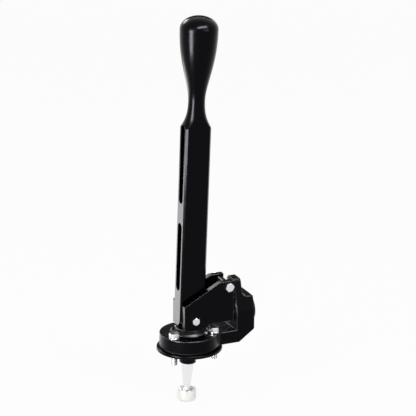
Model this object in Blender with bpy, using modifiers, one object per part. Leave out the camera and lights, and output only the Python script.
"""A short shifter: a pear-topped billet lever on a crossed pair of axes, carried by a turret base.

The frame: the origin is the centre of the turret flange's underside, +Z is up, +X runs back to
the bearing tower, and Y is the axis that the lever swings about.
"""

import math

import bmesh
import bpy
from mathutils import Matrix

MM = 0.001

# Driving dimensions, all in metres
TOUCH = 0.3 * MM  # the gap left between pieces that rest on each other
SLIDE = 0.5 * MM  # the running clearance on each side of the lever

FLANGE_RADIUS = 33.0 * MM
FLANGE_THICK = 3.0 * MM
FLANGE_BORE = 16.5 * MM
GASKET_RADIUS = 28.6 * MM
GASKET_THICK = 0.8 * MM
RING_RADIUS = 30.0 * MM
RING_THICK = 13.2 * MM
RING_BORE = 17.0 * MM
BOLT_CIRCLE = 25.0 * MM
BOLT_ANGLES = {"far": 90.0, "front": 210.0, "rear": 330.0}

ARM_HALF = 16.7 * MM
ARM_FILLET = 9.0 * MM
TOWER_FRONT = 44.6 * MM
TOWER_REAR = 64.0 * MM
TOWER_BLEND = 8.0 * MM
TOWER_RADIUS = 18.0 * MM
SHOULDER_RISE = 17.2 * MM  # from the gate axis up to the flat behind the ear
EAR_THICK = 8.2 * MM
EAR_RISE = 35.0 * MM
EAR_HALF = 8.4 * MM
EAR_CHAMFER = 2.3 * MM
UNDERCUT_START = 47.5 * MM
UNDERCUT_RISE = 13.0 * MM

PIVOT_HEIGHT = 33.5 * MM
LEAN = math.radians(2.17)

LEVER_WIDE = 26.8 * MM
LEVER_THICK = 17.2 * MM
LEVER_CHAMFER = 1.8 * MM
LEVER_TOP = 307.0 * MM
KNOB_RADIUS = 18.85 * MM
KNOB_WIDEST = 294.0 * MM
NECK_RADIUS = 8.25 * MM
NECK_HEIGHT = 222.3 * MM
SHOULDER_HEIGHT = 194.0 * MM
GRIP_FULLNESS = 36.0 * MM  # how far the pear's side stays full, then the neck's run and the shoulder's
NECK_RUN = 17.7 * MM
SHOULDER_RUN = 12.3 * MM
SHOULDER_FLARE = 2.2 * MM
SHOULDER_FULLNESS = 9.0 * MM
FOOT_START = -4.5 * MM
FOOT_END = -11.5 * MM
SHANK_RADIUS = 8.3 * MM
SHANK_END = -48.3 * MM
SLOT_WIDTH = 9.5 * MM
SLOTS = ((29.0 * MM, 99.0 * MM), (119.0 * MM, 199.0 * MM))
STUB_RADIUS = 6.15 * MM
STUB_STUD = 4.0 * MM
STUB_NECK = 3.6 * MM
STUB_TAPER_GAP = 3.2 * MM
STUD_LENGTH = 20.0 * MM
BALL_HEIGHT = -82.4 * MM
BALL_RADIUS = 5.6 * MM

BUSH_RADIUS = 9.5 * MM
BUSH_ABOVE = 5.4 * MM
BUSH_BELOW = 5.7 * MM
BUSH_THROAT = 5.0 * MM
BUSH_FUNNEL = 7.4 * MM
BUSH_SLOTS = 6

DOME_RADIUS = 18.0 * MM
DOME_WALL = 1.4 * MM
DOME_REACH = math.radians(51.5)
DOME_HUB_TOP = -12.6 * MM
SEAL_RING_RADIUS = 19.2 * MM
SEAL_RING_RISE = 2.5 * MM
SEAL_WALL = 1.2 * MM
SEAL_SPIGOT = 4.0 * MM

PLATE_THICK = 5.8 * MM
PLATE_FRONT = -11.3 * MM
PLATE_REAR = 41.6 * MM
PLATE_FOOT = -8.7 * MM  # heights on the plates are from the gate axis
PLATE_RELIEF = -5.2 * MM
PLATE_NOSE = 15.7 * MM
PLATE_TOP = 36.5 * MM
PLATE_SLOPE_END = 27.2 * MM
RELIEF_START = 13.6 * MM
RELIEF_END = 20.0 * MM
PLATE_EDGE = 0.9 * MM
UPPER_SCREW = (36.4 * MM, 31.0 * MM)
DOWELS = ((30.0 * MM, 13.0 * MM), (37.0 * MM, 22.0 * MM))
BLOCK_FRONT = 24.5 * MM
BLOCK_TOP = 33.0 * MM

SHAFT_RADIUS = 5.0 * MM
SHAFT_FRONT = 26.0 * MM
SPACER_RADIUS = 11.5 * MM
SPACER_RIM = 1.5 * MM
SPACER_WALL = 1.7 * MM
CROSS_PIN_RADIUS = 2.0 * MM
CROSS_PIN_AT = 33.0 * MM
PIVOT_PIN_RADIUS = 4.0 * MM
BUSHING_WALL = 1.4 * MM
BUSHING_LENGTH = 7.0 * MM

BEARING_RADIUS = 11.0 * MM
BEARING_WIDTH = 6.0 * MM
BEARING_FRONTS = (45.0 * MM, 56.0 * MM)
BEARING_BALLS = 9
RACE_WALL = 1.8 * MM
RACE_GROOVE = 0.7 * MM
CAP_RADIUS = 15.0 * MM
CAP_THICK = 2.2 * MM

# Fastener sizes: shank radius, width across flats, head height
M6 = (3.0 * MM, 10.0 * MM, 4.0 * MM)
M5 = (2.5 * MM, 8.0 * MM, 3.5 * MM)
M4 = (2.0 * MM, 7.0 * MM, 2.8 * MM)
MOUNT_BOLT_LENGTH = 30.0 * MM
UPPER_SCREW_LENGTH = 12.0 * MM
PIVOT_SCREW_LENGTH = 10.0 * MM
WASHER_THICK = 1.2 * MM
WASHER_RADIUS = 5.4 * MM
LARGE_STEPS = 36  # facets round a large piece
SMALL_STEPS = 20  # and round a small one

# Places worked out from the driving dimensions
RING_LOW = FLANGE_THICK + GASKET_THICK + 2 * TOUCH
RING_TOP = RING_LOW + RING_THICK
PLATE_INNER = LEVER_THICK / 2 + SLIDE
PLATE_OUTER = PLATE_INNER + PLATE_THICK
GATE_AXIS = (0.0, 0.0, PIVOT_HEIGHT)


def new_collection(name):
    made = bpy.data.collections.new(name)
    bpy.context.scene.collection.children.link(made)
    return made


for old in list(bpy.data.objects):
    bpy.data.objects.remove(old)
PARTS = new_collection("short_shifter")
CUTTERS = new_collection("cutters")


# Materials
def material(name, colour, roughness, metallic):
    made = bpy.data.materials.new(name)
    made.use_nodes = True
    shader = made.node_tree.nodes["Principled BSDF"]
    shader.inputs["Base Color"].default_value = (*colour, 1.0)
    shader.inputs["Roughness"].default_value = roughness
    shader.inputs["Metallic"].default_value = metallic
    return made


BLACK_ALUMINIUM = ((0.012, 0.012, 0.013), 0.28, 0.6)
BRIGHT_ZINC = ((0.72, 0.73, 0.75), 0.25, 1.0)
POLISHED_STEEL = ((0.66, 0.67, 0.69), 0.14, 1.0)
BEARING_STEEL = ((0.55, 0.56, 0.58), 0.22, 1.0)
BRONZE = ((0.52, 0.33, 0.14), 0.35, 1.0)
BLACK_RUBBER = ((0.010, 0.010, 0.010), 0.75, 0.0)
BLACK_ACETAL = ((0.014, 0.014, 0.015), 0.42, 0.0)
WHITE_NYLON = ((0.82, 0.81, 0.77), 0.38, 0.0)
GASKET_FIBRE = ((0.020, 0.020, 0.022), 0.85, 0.0)


# Shape helpers
def link(name, mesh, look=None, parent=None):
    """Adds a mesh as a piece, or as a cutter when it has no look."""
    made = bpy.data.objects.new(name, mesh)
    if look is None:
        CUTTERS.objects.link(made)
        made.hide_render = True
        made.display_type = "WIRE"
    else:
        PARTS.objects.link(made)
        mesh.materials.append(material(name, *look))
    made.parent = parent
    return made


def cylinder(name, radius, length, place, axis="Z", look=None, parent=None, sides=SMALL_STEPS, top=None):
    """A cylinder or cone centred on its place, with its length along the axis."""
    turn = {
        "Z": Matrix(),
        "X": Matrix.Rotation(math.pi / 2, 4, "Y"),
        "Y": Matrix.Rotation(-math.pi / 2, 4, "X"),
    }
    mesh = bpy.data.meshes.new(name)
    shape = bmesh.new()
    bmesh.ops.create_cone(
        shape,
        cap_ends=True,
        segments=sides,
        radius1=radius,
        radius2=radius if top is None else top,
        depth=length,
        matrix=turn[axis],
    )
    shape.to_mesh(mesh)
    shape.free()
    made = link(name, mesh, look, parent)
    made.location = place
    return made


def turned(name, profile, look=None, parent=None, place=(0.0, 0.0, 0.0), axis="Z", ring=False,
           steps=SMALL_STEPS):
    """Turns a profile of (radius, height) points, listed down the outer side, about the axis."""
    mesh = bpy.data.meshes.new(name)
    edges = [(i, i + 1) for i in range(len(profile) - 1)]
    if ring:
        edges.append((len(profile) - 1, 0))
    mesh.from_pydata([(radius, 0.0, height) for radius, height in profile], edges, [])
    made = link(name, mesh, look, parent)
    made.location = place
    if axis == "X":
        made.rotation_euler = (0.0, math.pi / 2, 0.0)
    screw = made.modifiers.new("turn", "SCREW")
    screw.axis = "Z"
    screw.steps = steps
    screw.render_steps = steps
    screw.use_merge_vertices = True
    screw.merge_threshold = 0.00001
    return made


def slab(name, outline, low, high, plane="XY", look=None, parent=None, hole=None):
    """A flat outline given thickness: in XY it runs up Z, in XZ along Y, and in YZ along X."""
    curve = bpy.data.curves.new(name, "CURVE")
    curve.dimensions = "2D"
    curve.fill_mode = "BOTH"
    curve.extrude = (high - low) / 2
    for points in (outline, hole):
        if points is None:
            continue
        spline = curve.splines.new("POLY")
        spline.points.add(len(points) - 1)
        for point, (across, up) in zip(spline.points, points):
            point.co = (across, up, 0.0, 1.0)
        spline.use_cyclic_u = True
    guide = bpy.data.objects.new(name + "_outline", curve)
    CUTTERS.objects.link(guide)
    bpy.context.view_layer.update()
    graph = bpy.context.evaluated_depsgraph_get()
    mesh = bpy.data.meshes.new_from_object(guide.evaluated_get(graph))
    mesh.name = name
    bpy.data.objects.remove(guide)
    middle = (low + high) / 2
    stand = {
        "XY": Matrix.Translation((0.0, 0.0, middle)),
        "XZ": Matrix(((1, 0, 0, 0), (0, 0, 1, middle), (0, 1, 0, 0), (0, 0, 0, 1))),
        "YZ": Matrix(((0, 0, 1, middle), (1, 0, 0, 0), (0, 1, 0, 0), (0, 0, 0, 1))),
    }
    shape = bmesh.new()
    shape.from_mesh(mesh)
    bmesh.ops.remove_doubles(shape, verts=shape.verts, dist=0.000001)
    bmesh.ops.transform(shape, matrix=stand[plane], verts=shape.verts)
    bmesh.ops.recalc_face_normals(shape, faces=shape.faces)
    shape.to_mesh(mesh)
    shape.free()
    return link(name, mesh, look, parent)


def combine(piece, other, operation):
    step = piece.modifiers.new(operation.lower(), "BOOLEAN")
    step.operation = operation
    step.object = other
    step.solver = "EXACT"


def cut(piece, *cutters):
    for cutter in cutters:
        combine(piece, cutter, "DIFFERENCE")


def soften(piece, width, angle=35.0):
    """Chamfers every edge that is sharper than the angle."""
    bevel = piece.modifiers.new("edges", "BEVEL")
    bevel.width = width
    bevel.segments = 1
    bevel.limit_method = "ANGLE"
    bevel.angle_limit = math.radians(angle)


def arc(centre, radius, start, end, count):
    """Points on an arc from start to end degrees, both included."""
    found = []
    for i in range(count + 1):
        angle = math.radians(start + (end - start) * i / count)
        found.append((centre[0] + radius * math.cos(angle), centre[1] + radius * math.sin(angle)))
    return found


def bezier(first, first_pull, last_pull, last, count):
    """Points along a cubic curve, leaving out its first one."""
    found = []
    for i in range(1, count + 1):
        t = i / count
        parts = ((1 - t) ** 3, 3 * t * (1 - t) ** 2, 3 * t * t * (1 - t), t ** 3)
        points = (first, first_pull, last_pull, last)
        found.append(tuple(sum(part * point[axis] for part, point in zip(parts, points)) for axis in (0, 1)))
    return found


def bolt_outline(size, length):
    """The turned profile of a bolt's shank, hanging down from its head's underside."""
    radius = size[0]
    tip = 0.5 * MM
    top = size[2] / 2
    return [(0.0, top), (radius, top), (radius, tip - length), (radius - tip, -length), (0.0, -length)]


def hex_bolt(name, size, length, place, parent=None, side=None):
    """A hex bolt whose head's underside is at its place. It hangs down, or lies along Y on one side."""
    shank = turned(name + "_shank", bolt_outline(size, length))
    head_at = (0.0, 0.0, size[2] / 2)
    head = cylinder(name + "_head", size[1] / math.sqrt(3), size[2], head_at, sides=6)
    crown = cylinder(name + "_crown", size[1] / 2 + size[2], size[2], head_at, top=size[1] / 2 * 0.97)
    combine(head, crown, "INTERSECT")
    combine(head, shank, "UNION")
    bpy.context.view_layer.update()
    graph = bpy.context.evaluated_depsgraph_get()
    mesh = bpy.data.meshes.new_from_object(head.evaluated_get(graph))
    mesh.name = name
    mesh.transform(Matrix.Translation(head_at))
    for spare in (shank, head, crown):
        bpy.data.objects.remove(spare)
    bolt = link(name, mesh, BRIGHT_ZINC, parent)
    bolt.location = place
    if side is not None:
        bolt.rotation_euler = (-side * math.pi / 2, 0.0, 0.0)


# Parents that mark the axes: the gate axis, the lever's pivot and the ball's centre
def axis_mark(name, place, parent=None, lean=0.0):
    made = bpy.data.objects.new(name, None)
    PARTS.objects.link(made)
    made.location = place
    made.rotation_euler = (0.0, lean, 0.0)
    made.parent = parent
    return made


YOKE = axis_mark("gate_axis", GATE_AXIS)
LEVER = axis_mark("shift_pivot", (0.0, 0.0, 0.0), YOKE, LEAN)
BALL = axis_mark("ball_centre", (0.0, 0.0, BALL_HEIGHT), LEVER)


def around_bolts(height):
    """The name and the place of each mounting bolt at a height."""
    found = []
    for name, angle in BOLT_ANGLES.items():
        turn = math.radians(angle)
        found.append((name, (BOLT_CIRCLE * math.cos(turn), BOLT_CIRCLE * math.sin(turn), height)))
    return found


# Turret flange: the thin round lip that seats on the gearbox turret
def turret_flange():
    edge = 1.0 * MM
    rim = FLANGE_RADIUS
    profile = [
        (FLANGE_BORE, FLANGE_THICK),
        (rim - edge, FLANGE_THICK),
        (rim, FLANGE_THICK - edge),
        (rim, edge / 2),
        (rim - edge / 2, 0.0),
        (FLANGE_BORE, 0.0),
    ]
    piece = turned("turret_flange", profile, BLACK_ALUMINIUM, ring=True, steps=LARGE_STEPS)
    for where, place in around_bolts(FLANGE_THICK / 2):
        cut(piece, cylinder(f"flange_hole_{where}", M6[0] + TOUCH, 3 * FLANGE_THICK, place))


# Gasket: a thin ring between the flange and the base
def turret_gasket():
    low = FLANGE_THICK + TOUCH
    high = low + GASKET_THICK
    bore = RING_BORE + TOUCH
    profile = [(bore, high), (GASKET_RADIUS, high), (GASKET_RADIUS, low), (bore, low)]
    piece = turned("turret_gasket", profile, GASKET_FIBRE, ring=True, steps=LARGE_STEPS)
    for where, place in around_bolts((low + high) / 2):
        cut(piece, cylinder(f"gasket_hole_{where}", M6[0] + TOUCH, 6 * GASKET_THICK, place))


# Base housing: ring, arm and bearing tower machined in one
def arm_outline():
    """The ring's plan and the arm's, with a hollow fillet where they meet."""
    reach = RING_RADIUS + ARM_FILLET
    centre_y = ARM_HALF + ARM_FILLET
    centre_x = math.sqrt(reach ** 2 - centre_y ** 2)
    meet = math.degrees(math.atan2(centre_y, centre_x))
    half = [((TOWER_FRONT + TOWER_REAR) / 2, ARM_HALF)]
    half += arc((centre_x, centre_y), ARM_FILLET, 270.0, 180.0 + meet, 6)
    half += arc((0.0, 0.0), RING_RADIUS, meet, 180.0, 22)[1:]
    return half + [(x, -y) for x, y in reversed(half[:-1])]


def tower_section():
    """The tower seen from the front: a circle about the gate axis, run up to a narrow ear."""
    ear_low = EAR_RISE - EAR_CHAMFER
    distance = math.hypot(EAR_HALF, ear_low)
    tangent = math.degrees(math.atan2(ear_low, EAR_HALF) - math.acos(TOWER_RADIUS / distance))
    foot = -math.degrees(math.acos(ARM_HALF / TOWER_RADIUS))
    bottom = RING_LOW - PIVOT_HEIGHT
    half = [(ARM_HALF, bottom)]
    half += arc((0.0, 0.0), TOWER_RADIUS, foot, tangent, 8)
    half += [(EAR_HALF, ear_low), (EAR_HALF - EAR_CHAMFER, EAR_RISE)]
    whole = half + [(-y, z) for y, z in reversed(half)]
    return [(y, z + PIVOT_HEIGHT) for y, z in whole]


def tower_side():
    """The tower seen from the side: the ear, its hollow blend, the boss and the sloped underside."""
    ear_rear = TOWER_FRONT + EAR_THICK
    flat = PIVOT_HEIGHT + SHOULDER_RISE
    outline = [(TOWER_FRONT, RING_LOW), (TOWER_FRONT, PIVOT_HEIGHT + EAR_RISE)]
    outline.append((ear_rear, PIVOT_HEIGHT + EAR_RISE))
    outline += arc((ear_rear + TOWER_BLEND, flat + TOWER_BLEND), TOWER_BLEND, 180.0, 270.0, 6)
    outline += [(TOWER_REAR, flat), (TOWER_REAR, RING_LOW + UNDERCUT_RISE), (UNDERCUT_START, RING_LOW)]
    return outline


def base_housing():
    piece = slab("base_housing", arm_outline(), RING_LOW, RING_TOP, "XY", BLACK_ALUMINIUM)
    side = slab("tower_side", tower_side(), -1.5 * TOWER_RADIUS, 1.5 * TOWER_RADIUS, "XZ")
    section = slab("tower_section", tower_section(), TOWER_FRONT / 2, 2 * TOWER_REAR, "YZ")
    combine(side, section, "INTERSECT")
    combine(piece, side, "UNION")
    slope = math.atan2(UNDERCUT_RISE, TOWER_REAR - UNDERCUT_START)
    far = TOWER_REAR  # well past the tower
    underside = [
        (UNDERCUT_START, RING_LOW),
        (UNDERCUT_START + far * math.cos(slope), RING_LOW + far * math.sin(slope)),
        (UNDERCUT_START + far, RING_LOW - far),
        (UNDERCUT_START - 1 * MM, RING_LOW - far),
    ]
    cut(piece, slab("underside_slope", underside, -2 * ARM_HALF, 2 * ARM_HALF, "XZ"))
    soften(piece, 0.9 * MM, 38.0)
    middle = (RING_LOW + RING_TOP) / 2
    cut(piece, cylinder("ring_bore", RING_BORE, 3 * RING_THICK, (0.0, 0.0, middle), sides=LARGE_STEPS))
    for where, place in around_bolts(middle):
        cut(piece, cylinder(f"mount_hole_{where}", M6[0] + TOUCH, 3 * RING_THICK, place))
    seat = BEARING_RADIUS + TOUCH
    front_depth = BEARING_FRONTS[0] + BEARING_WIDTH + TOUCH - TOWER_FRONT
    rear_depth = TOWER_REAR - BEARING_FRONTS[1] + TOUCH
    spare = 5 * MM
    front_at = (TOWER_FRONT + (front_depth - spare) / 2, 0.0, PIVOT_HEIGHT)
    rear_at = (TOWER_REAR - (rear_depth - spare) / 2, 0.0, PIVOT_HEIGHT)
    through_at = ((TOWER_FRONT + TOWER_REAR) / 2, 0.0, PIVOT_HEIGHT)
    cut(piece, cylinder("front_seat", seat, front_depth + spare, front_at, "X"))
    cut(piece, cylinder("rear_seat", seat, rear_depth + spare, rear_at, "X"))
    cut(piece, cylinder("shaft_bore", seat - 2 * MM, 2 * EAR_THICK, through_at, "X"))


# Mounting bolts and washers, three of each
def mount_fasteners():
    washer_low = RING_TOP + TOUCH
    head_low = washer_low + WASHER_THICK + TOUCH
    hole = M6[0] + TOUCH
    profile = [(hole, WASHER_THICK), (WASHER_RADIUS, WASHER_THICK), (WASHER_RADIUS, 0.0), (hole, 0.0)]
    for where, place in around_bolts(washer_low):
        turned("mount_washer_" + where, profile, BRIGHT_ZINC, place=place, ring=True)
    for where, place in around_bolts(head_low):
        hex_bolt("mount_bolt_" + where, M6, MOUNT_BOLT_LENGTH, place)


# Seal ring and wiper: they close the bore round the lever's dome
def bore_seal():
    low = RING_TOP + TOUCH
    top = low + SEAL_RING_RISE
    edge = 0.9 * MM
    spigot = RING_BORE - TOUCH
    inner = spigot - SEAL_WALL
    profile = [
        (inner, top),
        (SEAL_RING_RADIUS - edge, top),
        (SEAL_RING_RADIUS, top - edge),
        (SEAL_RING_RADIUS, low),
        (spigot, low),
        (spigot, RING_TOP - SEAL_SPIGOT),
        (inner, RING_TOP - SEAL_SPIGOT),
    ]
    turned("seal_ring", profile, BLACK_ALUMINIUM, ring=True, steps=LARGE_STEPS)
    lip_top = top - 0.6 * MM
    lip_low = lip_top - 1.3 * MM
    below_pivot = PIVOT_HEIGHT - lip_top
    lip = math.sqrt(DOME_RADIUS ** 2 - below_pivot ** 2) + TOUCH
    outer = inner - TOUCH
    skirt = outer - 1.0 * MM
    skirt_low = lip_low - 1.5 * MM
    wiper = [(lip, lip_top), (outer, lip_top), (outer, skirt_low)]
    wiper += [(skirt, skirt_low), (skirt, lip_low), (lip, lip_low)]
    turned("wiper_seal", wiper, BLACK_RUBBER, ring=True, steps=LARGE_STEPS)


# Side plates: the two halves of the yoke that the lever swings between
def plate_outline():
    foot = PIVOT_HEIGHT + PLATE_FOOT
    relief = PIVOT_HEIGHT + PLATE_RELIEF
    top = PIVOT_HEIGHT + PLATE_TOP
    rise = PLATE_RELIEF - PLATE_FOOT
    outline = [(PLATE_FRONT, foot), (PLATE_FRONT, PIVOT_HEIGHT + PLATE_NOSE)]
    outline += [(PLATE_SLOPE_END, top), (PLATE_REAR, top), (PLATE_REAR, relief)]
    sweep = RELIEF_END - RELIEF_START
    for i in range(7):
        angle = math.radians(90.0 * i / 6)
        outline.append((RELIEF_END - sweep * math.sin(angle), foot + rise * math.cos(angle)))
    return outline


def side_plates():
    for name, side in (("side_plate_near", -1.0), ("side_plate_far", 1.0)):
        low, high = sorted((side * PLATE_INNER, side * PLATE_OUTER))
        piece = slab(name, plate_outline(), low, high, "XZ", BLACK_ALUMINIUM, YOKE)
        piece.location = (0.0, 0.0, -PIVOT_HEIGHT)
        soften(piece, PLATE_EDGE)
        middle = side * (PLATE_INNER + PLATE_OUTER) / 2
        screw_at = (UPPER_SCREW[0], middle, PIVOT_HEIGHT + UPPER_SCREW[1])
        through = 3 * PLATE_THICK
        cut(piece, cylinder(name + "_pivot_hole", M4[0] + TOUCH, through, (0.0, middle, PIVOT_HEIGHT), "Y"))
        cut(piece, cylinder(name + "_screw_hole", M5[0] + TOUCH, through, screw_at, "Y"))
        for i, (along, up) in enumerate(DOWELS):
            place = (along, side * PLATE_INNER, PIVOT_HEIGHT + up)
            cut(piece, cylinder(f"{name}_dowel_{i}", CROSS_PIN_RADIUS + TOUCH, PLATE_THICK, place, "Y"))


# Yoke block: it spaces the plates and holds the gate shaft
def yoke_block():
    half = PLATE_INNER - TOUCH
    outline = [
        (BLOCK_FRONT, PLATE_RELIEF),
        (BLOCK_FRONT, BLOCK_TOP),
        (PLATE_REAR, BLOCK_TOP),
        (PLATE_REAR, PLATE_RELIEF),
    ]
    piece = slab("yoke_block", outline, -half, half, "XZ", BLACK_ALUMINIUM, YOKE)
    soften(piece, 0.6 * MM)
    middle = (BLOCK_FRONT + PLATE_REAR) / 2
    bore = SHAFT_RADIUS + TOUCH
    length = 2 * (PLATE_REAR - BLOCK_FRONT)
    cut(piece, cylinder("block_shaft_bore", bore, length, (middle, 0.0, 0.0), "X", parent=YOKE))
    pin_at = (CROSS_PIN_AT, 0.0, 0.0)
    cut(piece, cylinder("block_pin_hole", CROSS_PIN_RADIUS + TOUCH, 4 * half, pin_at, "Y", parent=YOKE))
    screw_at = (UPPER_SCREW[0], 0.0, UPPER_SCREW[1])
    cut(piece, cylinder("block_screw_hole", M5[0] + TOUCH, 4 * half, screw_at, "Y", parent=YOKE))
    for i, (along, up) in enumerate(DOWELS):
        hole = cylinder(
            f"block_dowel_{i}", CROSS_PIN_RADIUS + TOUCH, 4 * half, (along, 0.0, up), "Y", parent=YOKE
        )
        cut(piece, hole)


# Yoke fasteners: two upper screws, two pivot screws, dowels and the shaft's cross pin
def yoke_fasteners():
    half = PLATE_INNER + PLATE_THICK / 2 - TOUCH
    for name, side in (("near", -1.0), ("far", 1.0)):
        face = side * (PLATE_OUTER + TOUCH)
        upper_at = (UPPER_SCREW[0], face, UPPER_SCREW[1])
        hex_bolt("yoke_screw_" + name, M5, UPPER_SCREW_LENGTH, upper_at, YOKE, side)
        hex_bolt("pivot_screw_" + name, M4, PIVOT_SCREW_LENGTH, (0.0, face, 0.0), YOKE, side)
    for name, (along, up) in zip(("lower", "upper"), DOWELS):
        place = (along, 0.0, up)
        cylinder("yoke_dowel_" + name, CROSS_PIN_RADIUS, 2 * half, place, "Y", POLISHED_STEEL, YOKE)
    length = 2 * (PLATE_INNER - TOUCH)
    cylinder("shaft_cross_pin", CROSS_PIN_RADIUS, length, (CROSS_PIN_AT, 0.0, 0.0), "Y", POLISHED_STEEL, YOKE)


# Gate shaft, its spacer and its circlip
def gate_shaft():
    edge = 0.3 * MM
    radius = SHAFT_RADIUS
    clip = BEARING_FRONTS[1] + BEARING_WIDTH + TOUCH
    clip_thick = 0.9 * MM
    groove = radius - 0.7 * MM
    groove_low = clip - TOUCH / 2
    groove_high = clip + clip_thick + TOUCH / 2
    end = groove_high + 2 * edge
    profile = [(0.0, end), (radius - edge, end), (radius, end - edge), (radius, groove_high)]
    profile += [(groove, groove_high), (groove, groove_low), (radius, groove_low)]
    profile += [(radius, SHAFT_FRONT + edge), (radius - edge, SHAFT_FRONT), (0.0, SHAFT_FRONT)]
    piece = turned("gate_shaft", profile, POLISHED_STEEL, YOKE, axis="X")
    pin_at = (CROSS_PIN_AT, 0.0, 0.0)
    cut(piece, cylinder("shaft_pin_hole", CROSS_PIN_RADIUS + TOUCH, 4 * radius, pin_at, "Y", parent=YOKE))
    clip_bore = groove + TOUCH
    clip_rim = radius + 2 * MM
    clip_top = clip + clip_thick
    clip_profile = [(clip_bore, clip_top), (clip_rim, clip_top), (clip_rim, clip), (clip_bore, clip)]
    turned("shaft_circlip", clip_profile, BEARING_STEEL, YOKE, axis="X", ring=True)
    bore = radius + TOUCH
    start = PLATE_REAR + TOUCH
    rim = start + SPACER_RIM
    finish = BEARING_FRONTS[0] - TOUCH
    hub = bore + SPACER_WALL
    flange = SPACER_RADIUS
    spacer = [(bore, finish), (hub, finish), (hub, rim), (flange, rim), (flange, start), (bore, start)]
    turned("shaft_spacer", spacer, POLISHED_STEEL, YOKE, axis="X", ring=True)


# Gate bearings: two deep-groove bearings, each an outer race, an inner race and its caged balls
def ball_cage(name, centre, radius, ball):
    """The balls of one bearing, held by a thin cage ring that runs through them."""
    wall = 0.35 * MM
    wide = 1.1 * MM
    profile = [(radius - wall, wide), (radius + wall, wide), (radius + wall, -wide), (radius - wall, -wide)]
    cage = turned(name, profile, BEARING_STEEL, place=(centre, 0.0, PIVOT_HEIGHT), axis="X", ring=True)
    for step in range(BEARING_BALLS):
        angle = 2 * math.pi * step / BEARING_BALLS
        mesh = bpy.data.meshes.new(f"{name}_ball_{step}")
        shape = bmesh.new()
        bmesh.ops.create_uvsphere(shape, u_segments=8, v_segments=5, radius=ball)
        shape.to_mesh(mesh)
        shape.free()
        sphere = link(mesh.name, mesh)
        sphere.location = (centre, radius * math.cos(angle), PIVOT_HEIGHT + radius * math.sin(angle))
        combine(cage, sphere, "UNION")


def gate_bearings():
    bore = SHAFT_RADIUS + TOUCH
    pitch = (BEARING_RADIUS + bore) / 2
    ball = pitch - bore - RACE_WALL + RACE_GROOVE - TOUCH
    groove = ball * 0.8
    half = BEARING_WIDTH / 2
    outer_land = BEARING_RADIUS - RACE_WALL
    inner_land = bore + RACE_WALL
    outer_floor = outer_land + RACE_GROOVE
    inner_floor = inner_land - RACE_GROOVE
    outer = [(outer_land, half), (BEARING_RADIUS, half), (BEARING_RADIUS, -half), (outer_land, -half)]
    outer += [(outer_land, -groove), (outer_floor, -groove / 2), (outer_floor, groove / 2), (outer_land, groove)]
    inner = [(bore, half), (inner_land, half), (inner_land, groove), (inner_floor, groove / 2)]
    inner += [(inner_floor, -groove / 2), (inner_land, -groove), (inner_land, -half), (bore, -half)]
    for name, front in zip(("front", "rear"), BEARING_FRONTS):
        centre = front + half
        place = (centre, 0.0, PIVOT_HEIGHT)
        turned(name + "_bearing_outer_race", outer, BEARING_STEEL, place=place, axis="X", ring=True)
        turned(name + "_bearing_inner_race", inner, BEARING_STEEL, YOKE, (centre, 0.0, 0.0), "X", True)
        ball_cage(name + "_bearing_ball_cage", centre, pitch, ball)


# Bearing cap: it closes the back of the boss over the shaft's end
def bearing_cap():
    inner_face = TOWER_REAR + TOUCH
    outer_face = inner_face + CAP_THICK
    spigot = BEARING_RADIUS
    spigot_end = BEARING_FRONTS[1] + BEARING_WIDTH + TOUCH
    hollow = spigot - 2.2 * MM
    edge = 0.6 * MM
    profile = [
        (0.0, outer_face),
        (CAP_RADIUS - edge, outer_face),
        (CAP_RADIUS, outer_face - edge),
        (CAP_RADIUS, inner_face),
        (spigot, inner_face),
        (spigot, spigot_end),
        (hollow, spigot_end),
        (hollow, inner_face),
        (0.0, inner_face),
    ]
    turned("bearing_cap", profile, BLACK_ALUMINIUM, place=GATE_AXIS, axis="X")


# Pivot pin and bushings: what the lever swings on
def pivot():
    half = PLATE_INNER - TOUCH
    pin = cylinder("pivot_pin", PIVOT_PIN_RADIUS, 2 * half, (0.0, 0.0, 0.0), "Y", POLISHED_STEEL, YOKE)
    depth = PIVOT_SCREW_LENGTH - PLATE_THICK
    for i, side in enumerate((-1.0, 1.0)):
        place = (0.0, side * half, 0.0)
        cut(pin, cylinder(f"pin_thread_{i}", M4[0] + TOUCH, 2 * depth + 2 * MM, place, "Y", parent=YOKE))
    bore = PIVOT_PIN_RADIUS + TOUCH
    outer = bore + BUSHING_WALL
    edge = 0.3 * MM
    for name, side in (("near", -1.0), ("far", 1.0)):
        face = LEVER_THICK / 2 - TOUCH
        low, high = sorted((side * face, side * (face - BUSHING_LENGTH)))
        profile = [(bore, high), (outer - edge, high), (outer, high - edge)]
        profile += [(outer, low + edge), (outer - edge, low), (bore, low)]
        tube = turned("pivot_bushing_" + name, profile, BRONZE, LEVER, ring=True)
        tube.rotation_euler = (-math.pi / 2, 0.0, 0.0)


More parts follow.
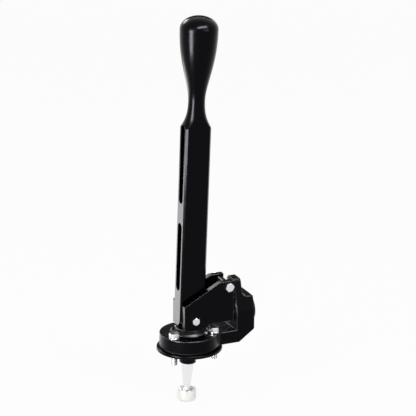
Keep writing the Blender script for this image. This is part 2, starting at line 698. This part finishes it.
# Shift lever: turned from one bar, with milled flats, two lightening slots and a pear-shaped grip
def lever_profile():
    """The turned shape before the flats are milled, from the grip's crown down to the shank."""
    crown = LEVER_TOP - KNOB_WIDEST
    profile = [(0.0, LEVER_TOP)]
    for i in range(1, 9):
        angle = math.radians(90.0 * i / 8)
        profile.append((KNOB_RADIUS * math.sin(angle), KNOB_WIDEST + crown * math.cos(angle)))
    widest = (KNOB_RADIUS, KNOB_WIDEST)
    neck = (NECK_RADIUS, NECK_HEIGHT)
    grip_pull = (KNOB_RADIUS, KNOB_WIDEST - GRIP_FULLNESS)
    neck_pull = (NECK_RADIUS, NECK_HEIGHT + NECK_RUN)
    profile += bezier(widest, grip_pull, neck_pull, neck, 14)
    stock = math.hypot(LEVER_WIDE / 2, LEVER_THICK / 2) + 0.4 * MM
    below_neck = (NECK_RADIUS, NECK_HEIGHT - SHOULDER_RUN)
    shoulder_pull = (NECK_RADIUS + SHOULDER_FLARE, SHOULDER_HEIGHT + SHOULDER_FULLNESS)
    profile += bezier(neck, below_neck, shoulder_pull, (stock, SHOULDER_HEIGHT), 9)
    profile += [(stock, FOOT_START), (SHANK_RADIUS, FOOT_END)]
    edge = 0.7 * MM
    profile += [(SHANK_RADIUS, SHANK_END + edge), (SHANK_RADIUS - edge, SHANK_END), (0.0, SHANK_END)]
    return profile


def shift_lever():
    piece = turned("shift_lever", lever_profile(), BLACK_ALUMINIUM, LEVER, steps=LARGE_STEPS)
    half_wide = LEVER_WIDE / 2
    half_thick = LEVER_THICK / 2
    corner = LEVER_CHAMFER
    flats = [
        (half_wide, half_thick - corner),
        (half_wide - corner, half_thick),
        (corner - half_wide, half_thick),
        (-half_wide, half_thick - corner),
        (-half_wide, corner - half_thick),
        (corner - half_wide, -half_thick),
        (half_wide - corner, -half_thick),
        (half_wide, corner - half_thick),
    ]
    stock = 2 * LEVER_WIDE
    square = [(stock, stock), (-stock, stock), (-stock, -stock), (stock, -stock)]
    cut(piece, slab("lever_flats", square, FOOT_END - 1 * MM, NECK_HEIGHT, "XY", parent=LEVER, hole=flats))
    end = SLOT_WIDTH / 2
    for i, (low, high) in enumerate(SLOTS):
        outline = arc((0.0, high - end), end, 0.0, 180.0, 8) + arc((0.0, low + end), end, 180.0, 360.0, 8)
        cut(piece, slab(f"lever_slot_{i}", outline, -2 * half_wide, 2 * half_wide, "YZ", parent=LEVER))
    bore = PIVOT_PIN_RADIUS + BUSHING_WALL + 2 * TOUCH
    cut(piece, cylinder("lever_pivot_bore", bore, 4 * half_thick, (0.0, 0.0, 0.0), "Y", parent=LEVER))
    depth = STUD_LENGTH + 2 * MM
    cut(piece, cylinder("lever_stub_bore", STUB_STUD + TOUCH, 2 * depth, (0.0, 0.0, SHANK_END), parent=LEVER))


# Seal dome: a cup centred on the pivot, so that it turns under the wiper at any lever angle
def seal_dome():
    hub_bore = SHANK_RADIUS + TOUCH
    hub = hub_bore + 1.2 * MM
    inner = DOME_RADIUS - DOME_WALL
    start = math.degrees(math.asin(hub_bore / DOME_RADIUS))
    reach = math.degrees(DOME_REACH)
    inner_start = math.degrees(math.asin(hub / inner))
    outside = arc((0.0, 0.0), DOME_RADIUS, reach - 90.0, start - 90.0, 5)
    inside = arc((0.0, 0.0), inner, inner_start - 90.0, reach - 90.0, 4)
    profile = outside + [(hub_bore, DOME_HUB_TOP), (hub, DOME_HUB_TOP)] + inside
    turned("seal_dome", profile, BLACK_ACETAL, LEVER, ring=True, steps=LARGE_STEPS)


# Lever stub: the polished end that screws into the shank and carries the ball
def lever_stub():
    shoulder = SHANK_END - TOUCH
    stud_top = shoulder + STUD_LENGTH
    edge = 0.6 * MM
    taper_end = BALL_HEIGHT + BALL_RADIUS + STUB_TAPER_GAP
    meet = math.degrees(math.acos(STUB_NECK / BALL_RADIUS))
    profile = [(0.0, stud_top), (STUB_STUD - edge, stud_top), (STUB_STUD, stud_top - edge)]
    profile += [(STUB_STUD, shoulder), (STUB_RADIUS - edge / 2, shoulder), (STUB_RADIUS, shoulder - edge / 2)]
    profile += [(STUB_RADIUS, shoulder - 3 * MM), (STUB_NECK, taper_end)]
    profile += arc((0.0, BALL_HEIGHT), BALL_RADIUS, meet, -90.0, 8)[:-1] + [(0.0, BALL_HEIGHT - BALL_RADIUS)]
    turned("lever_stub", profile, POLISHED_STEEL, LEVER)


# End bush: the nylon socket that snaps over the ball and works the selector
def end_bush():
    socket = BALL_RADIUS + TOUCH
    edge = 1.3 * MM
    throat = math.degrees(math.acos(BUSH_THROAT / socket))
    top_edge = edge / 2
    profile = [(BUSH_FUNNEL, BUSH_ABOVE), (BUSH_RADIUS - top_edge, BUSH_ABOVE)]
    profile += [(BUSH_RADIUS, BUSH_ABOVE - top_edge), (BUSH_RADIUS, edge - BUSH_BELOW)]
    profile.append((BUSH_RADIUS - edge, -BUSH_BELOW))
    drain = 2.4 * MM
    seat = -math.degrees(math.acos(drain / socket))
    profile += [(drain, -BUSH_BELOW)] + arc((0.0, 0.0), socket, seat, throat, 6)
    piece = turned("end_bush", profile, WHITE_NYLON, BALL, ring=True, steps=24)
    slot_low = -1.0 * MM
    slot = 1.1 * MM
    slot_high = 2 * BUSH_ABOVE
    reach = BUSH_RADIUS - 1.6 * MM
    for i in range(BUSH_SLOTS // 2):
        outline = [(-slot / 2, slot_low), (slot / 2, slot_low), (slot / 2, slot_high), (-slot / 2, slot_high)]
        cutter = slab(f"bush_slot_{i}", outline, -reach, reach, "YZ", parent=BALL)
        cutter.rotation_euler = (0.0, 0.0, math.pi * (i + 0.5) / (BUSH_SLOTS // 2))
        cut(piece, cutter)


turret_flange()
turret_gasket()
base_housing()
mount_fasteners()
bore_seal()
side_plates()
yoke_block()
yoke_fasteners()
gate_shaft()
gate_bearings()
bearing_cap()
pivot()
shift_lever()
seal_dome()
lever_stub()
end_bush()
